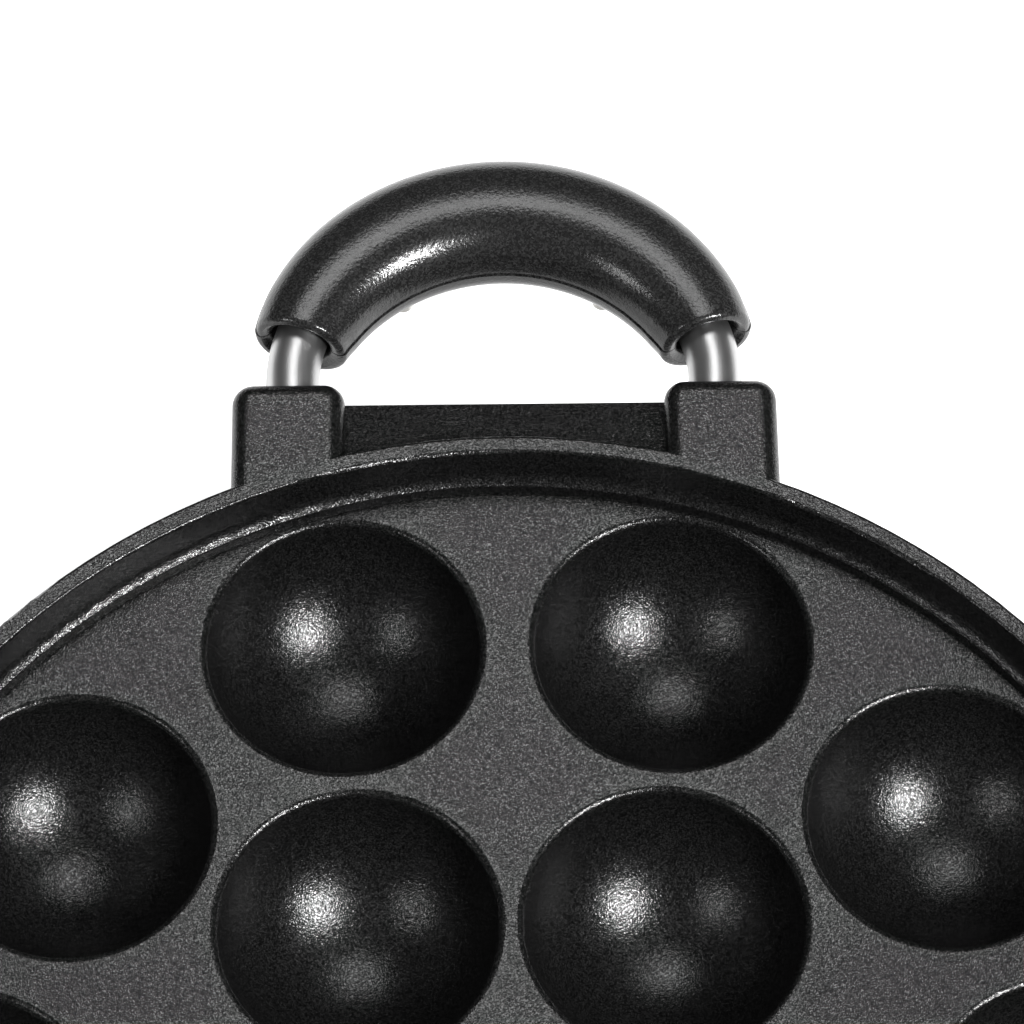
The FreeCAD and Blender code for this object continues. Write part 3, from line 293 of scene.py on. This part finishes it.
# The rod's line: two corner arcs that spring from the legs, and a flatter crown between them.
ROD_SPRING = 136.4 * MM
ROD_CORNER = 26.0 * MM
ROD_CROWN_TOP = rod_high.y - ROD_RADIUS
CROWN_START = math.pi / 2 - 2 * math.atan(
    (ROD_CROWN_TOP - ROD_SPRING - ROD_CORNER) / (ROD_HALF_SPAN - ROD_CORNER))
CROWN_RADIUS = ROD_CORNER + (ROD_HALF_SPAN - ROD_CORNER) / math.cos(CROWN_START)
CROWN_CENTRE = ROD_SPRING - (ROD_HALF_SPAN - ROD_CORNER) * math.tan(CROWN_START)

# The grip's section at its middle, and how much it has lost at its ends.
GRIP_END = math.radians(16.0)
GRIP_WIDE = 11.3 * MM
GRIP_WIDE_LOSS = 3.0 * MM
GRIP_TALL = 9.0 * MM
GRIP_TALL_LOSS = 1.2 * MM
GRIP_STATIONS = 97
GRIP_SIDES = 40
TOP_POWER = 2.1
BOTTOM_POWER = 2.4
TOP_SET_BACK = 0.3 * MM
HALF_SEAM = 0.12 * MM
LIP = 1.1 * MM
LIP_STEPS = 8
LEAST_WALL = 0.25 * MM
ROD_CLEARANCE = 0.2 * MM
MOUTH_FLARE = 1.3 * MM
MOUTH_START = 0.9

SCREW_ANGLE = math.radians(55.0)
SCREW_OFFSET = 7.4 * MM
WELL_RADIUS = 2.1 * MM
WELL_TOP = -4.85 * MM
WELL_FOOT = -11.0 * MM


def rod_line(angle):
    """The point of the rod's line whose outward normal has this angle, and that normal."""
    outward = Vector((math.cos(angle), math.sin(angle), 0))
    if CROWN_START <= angle <= math.pi - CROWN_START:
        return Vector((0, CROWN_CENTRE, ROD_HEIGHT)) + outward * CROWN_RADIUS, outward
    side = 1 if angle < math.pi / 2 else -1
    centre = Vector((side * (ROD_HALF_SPAN - ROD_CORNER), ROD_SPRING, ROD_HEIGHT))
    return centre + outward * ROD_CORNER, outward


def superellipse(angle, wide, tall, power):
    """A point of a squared ellipse."""
    c, s = math.cos(angle), math.sin(angle)
    x = math.copysign(abs(c) ** (2 / power), c) * wide
    return x, math.copysign(abs(s) ** (2 / power), s) * tall


def grip_section(angle, inset, up):
    """The C-shaped ring of one grip shell at one station, as in-plane and upright offsets."""
    way_out = abs(angle - math.pi / 2) / (math.pi / 2 - GRIP_END)
    wide = GRIP_WIDE - GRIP_WIDE_LOSS * way_out ** 2
    tall = GRIP_TALL - GRIP_TALL_LOSS * way_out ** 2
    flare = max(0.0, (way_out - MOUTH_START) / (1 - MOUTH_START))
    channel = ROD_RADIUS + ROD_CLEARANCE + MOUTH_FLARE * flare ** 2
    shrink = LIP - math.sqrt(max(0.0, LIP ** 2 - (LIP - min(inset, LIP)) ** 2))
    channel = min(channel + shrink, wide - shrink - LEAST_WALL)
    if up:
        wide -= TOP_SET_BACK
    power = TOP_POWER if up else BOTTOM_POWER
    sign = 1 if up else -1
    ring = []
    for step in range(GRIP_SIDES + 1):
        across, rise = superellipse(math.pi * step / GRIP_SIDES, wide - shrink, tall - shrink, power)
        ring.append((across, sign * max(rise, HALF_SEAM)))
    for step in range(GRIP_SIDES + 1):
        turn = math.pi - math.pi * step / GRIP_SIDES
        across, rise = channel * math.cos(turn), channel * math.sin(turn)
        ring.append((across, sign * max(rise, HALF_SEAM)))
    return ring


def grip_stations():
    """Station angles from end to end, crowded at the ends, with each one's way in from the end."""
    span = math.pi - 2 * GRIP_END
    reach = LIP / ROD_CORNER
    starts = [reach * (1 - math.cos(math.pi / 2 * step / LIP_STEPS)) for step in range(LIP_STEPS)]
    middle = [reach + (span - 2 * reach) * step / GRIP_STATIONS for step in range(GRIP_STATIONS + 1)]
    ends = [span - start for start in reversed(starts)]
    return [(GRIP_END + along, min(along, span - along) * ROD_CORNER) for along in starts + middle + ends]


def mesh_object(name, points, faces, finish):
    """A smooth-shaded piece with outward faces and one finish."""
    mesh = bpy.data.meshes.new(name)
    mesh.from_pydata(points, [], faces)
    made = bpy.data.objects.new(name, mesh)
    bpy.context.scene.collection.objects.link(made)
    mesh.materials.append(FINISHES[finish])
    tidy = bmesh.new()
    tidy.from_mesh(mesh)
    bmesh.ops.remove_doubles(tidy, verts=tidy.verts, dist=1e-7)
    bmesh.ops.recalc_face_normals(tidy, faces=tidy.faces)
    tidy.to_mesh(mesh)
    tidy.free()
    for face in mesh.polygons:
        face.use_smooth = True
    mesh.set_sharp_from_angle(angle=SHARP_ANGLE)
    return made


def ring_faces(rows, sides):
    """The faces of a tube of rings, closed by a face at each end."""
    faces = []
    for row in range(rows - 1):
        for side in range(sides):
            follow = (side + 1) % sides
            faces.append((row * sides + side, row * sides + follow,
                          (row + 1) * sides + follow, (row + 1) * sides + side))
    faces.append(tuple(range(sides)))
    faces.append(tuple((rows - 1) * sides + side for side in range(sides)))
    return faces


def grip_shell(name, up, rear):
    """One half of a grip: a swept C-shaped shell with rounded lips round the rod."""
    points = []
    sides = 0
    flip = 1 if rear else -1
    stations = grip_stations()
    for angle, inset in stations:
        centre, outward = rod_line(angle)
        ring = grip_section(angle, inset, up)
        sides = len(ring)
        for across, rise in ring:
            spot = centre + outward * across
            points.append((spot.x, spot.y * flip, spot.z + rise))
    piece = mesh_object(name + "_moulded", points, ring_faces(len(stations), sides), "grip")
    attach(piece, "plate")
    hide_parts(name)
    return piece


def well_cutter(rear):
    """Two upright plugs where the wells of a lower shell go."""
    well = bmesh.new()
    flip = 1 if rear else -1
    for angle in (SCREW_ANGLE, math.pi - SCREW_ANGLE):
        spot, outward = rod_line(angle)
        spot = spot - outward * SCREW_OFFSET
        made = bmesh.ops.create_cone(well, cap_ends=True, segments=48, radius1=WELL_RADIUS,
                                     radius2=WELL_RADIUS, depth=WELL_TOP - WELL_FOOT)
        middle = Vector((spot.x, spot.y * flip, ROD_HEIGHT + (WELL_TOP + WELL_FOOT) / 2))
        bmesh.ops.translate(well, verts=made["verts"], vec=middle)
    mesh = bpy.data.meshes.new("wells")
    well.to_mesh(mesh)
    well.free()
    cutter = bpy.data.objects.new("wells", mesh)
    bpy.context.scene.collection.objects.link(cutter)
    return cutter


def drill_wells(piece, rear):
    """Sink a round well into a lower shell under each of its two screws."""
    cutter = well_cutter(rear)
    drill = piece.modifiers.new("wells", "BOOLEAN")
    drill.operation = "DIFFERENCE"
    drill.solver = "EXACT"
    drill.object = cutter
    drilled = bpy.data.meshes.new_from_object(piece.evaluated_get(bpy.context.evaluated_depsgraph_get()))
    piece.modifiers.clear()
    piece.data = drilled
    drilled.set_sharp_from_angle(angle=SHARP_ANGLE)
    bpy.data.objects.remove(cutter)


# ---- dial scale --------------------------------------------------------

DIAL_GAP = 0.5 * MM
STROKE_ANGLES = (45, 67.5, 90, 112.5, 135, 225, 247.5, 270)
STROKE_CLEARANCE = 0.9 * MM
STROKE_LENGTH = 2.4 * MM
STROKE_HALF_WIDTH = 0.25 * MM
STROKE_GROWTH = 0.15 * MM
STROKE_SINK = -0.02 * MM
STROKE_PROUD = 0.06 * MM
STROKE_SIDES = 16


def stroke_ring(depth, degrees, inner, middle):
    """The round-ended outline of one stroke, pointing away from the dial's axis."""
    turn = math.radians(degrees)
    along = Vector((0, math.sin(turn), math.cos(turn)))
    across = Vector((0, math.cos(turn), -math.sin(turn)))
    half = STROKE_HALF_WIDTH + STROKE_GROWTH * degrees / STROKE_ANGLES[-1]
    ring = []
    for step in range(STROKE_SIDES):
        bend = 2 * math.pi * (step + 0.5) / STROKE_SIDES
        reach = inner + (0 if math.cos(bend) < 0 else STROKE_LENGTH) + half * math.cos(bend)
        spot = along * reach + across * (half * math.sin(bend))
        ring.append((depth, spot.y, middle + spot.z))
    return ring


def dial_scale():
    """Plain strokes printed round the dial, wider towards the hot end."""
    low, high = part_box("control_dial")
    face = low.x - DIAL_GAP
    middle = (low.z + high.z) / 2
    inner = (high.z - low.z) / 2 + STROKE_CLEARANCE
    points = []
    faces = []
    for degrees in STROKE_ANGLES:
        first = len(points)
        for depth in (STROKE_SINK, STROKE_PROUD):
            points += stroke_ring(face + depth, degrees, inner, middle)
        for face_ring in ring_faces(2, STROKE_SIDES):
            faces.append(tuple(first + corner for corner in face_ring))
    piece = mesh_object("dial_scale", points, faces, "pointer")
    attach(piece, "base")


# ---- studio ------------------------------------------------------------

FLOOR_REACH = 6.0
LIT_POINT = Vector((0, PLATE_RADIUS * 0.6, PLATE_TOP))
BACKDROP_STRENGTH = 0.1

# Each light's direction from the lit point, then its distance, width, height and power.
SOFTBOXES = {
    "key_light": ((0.53, -0.48, 0.70), 1.6, 0.34, 0.34, 38),
    "fill_light": ((-0.71, -0.41, 0.575), 1.8, 0.3, 0.3, 4.5),
    "back_light": ((0.0, 0.41, 0.91), 1.7, 0.8, 0.55, 7.5),
}


def add_floor():
    """A wide pale floor."""
    reach = FLOOR_REACH
    mesh = bpy.data.meshes.new("studio_floor")
    mesh.from_pydata([(-reach, -reach, 0), (reach, -reach, 0), (reach, reach, 0), (-reach, reach, 0)],
                     [], [(0, 1, 2, 3)])
    floor = bpy.data.objects.new("studio_floor", mesh)
    bpy.context.scene.collection.objects.link(floor)
    paint = Paint("pale_floor")
    mottle = paint.noise(2, 2.0)
    tone = paint.mix(mottle, colour(0.86), colour(0.9))
    lit = {"Base_Color": tone, "Roughness": 0.9, "Emission_Color": colour(1.0), "Emission_Strength": 0.8}
    mesh.materials.append(paint.finish(**lit))


def add_softbox(name, towards, distance, width, height, power):
    """A soft panel light that faces the plate's rear half from one direction."""
    light = bpy.data.lights.new(name, "AREA")
    light.shape = "RECTANGLE"
    light.size = width
    light.size_y = height
    light.energy = power
    lamp = bpy.data.objects.new(name, light)
    direction = Vector(towards).normalized()
    lamp.location = LIT_POINT + direction * distance
    lamp.rotation_mode = "QUATERNION"
    lamp.rotation_quaternion = (-direction).to_track_quat("-Z", "Y")
    bpy.context.scene.collection.objects.link(lamp)


def add_studio():
    """The floor, the soft lights and a faint even backdrop."""
    add_floor()
    for name, setting in SOFTBOXES.items():
        add_softbox(name, *setting)
    world = bpy.data.worlds.new("studio")
    world.use_nodes = True
    backdrop = world.node_tree.nodes["Background"]
    backdrop.inputs["Color"].default_value = (1, 1, 1, 1)
    backdrop.inputs["Strength"].default_value = BACKDROP_STRENGTH
    bpy.context.scene.world = world
    bpy.context.scene.view_settings.view_transform = "Standard"


add_camera()
add_studio()
finish_cad_nodes()
for rear in (True, False):
    end = "rear" if rear else "front"
    grip_shell(end + "_grip_top", True, rear)
    drill_wells(grip_shell(end + "_grip_bottom", False, rear), rear)
dial_scale()
